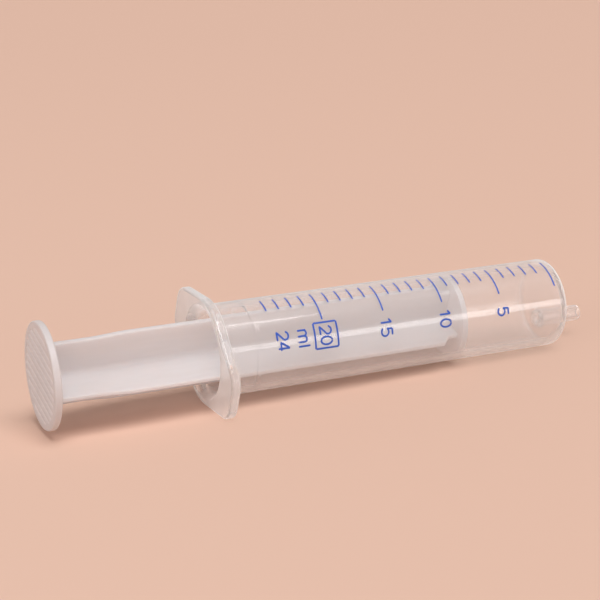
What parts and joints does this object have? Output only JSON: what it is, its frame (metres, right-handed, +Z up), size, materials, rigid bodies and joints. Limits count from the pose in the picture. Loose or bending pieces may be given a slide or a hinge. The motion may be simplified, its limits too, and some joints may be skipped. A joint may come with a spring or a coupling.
{
  "type": "luer slip syringe",
  "caption": "Two-part slip tip syringe lying on its flange: clear graduated barrel with a winged finger flange and off-centre nozzle, and a ribbed milky plunger.",
  "frame": {"origin": "on the barrel axis at the zero mark of the volume scale", "axes": "+X along the barrel towards the nozzle, +Z up with the syringe lying on a straight side of its flange"},
  "size_m": [0.1429, 0.0364, 0.0258],
  "materials": {
    "clear_plastic": "see-through, faintly cloudy, polished mould finish",
    "milky_plastic": "milky, lightly see-through, satin mould finish"
  },
  "bodies": {
    "barrel": {"barrel": "clear_plastic"},
    "plunger": {"plunger": "milky_plastic"}
  },
  "joints": [
    {"name": "plunger_slide", "type": "slide", "parent": "barrel", "child": "plunger", "axis": [1, 0, 0], "range_m": [-0.0528, 0.0252]}
  ]
}
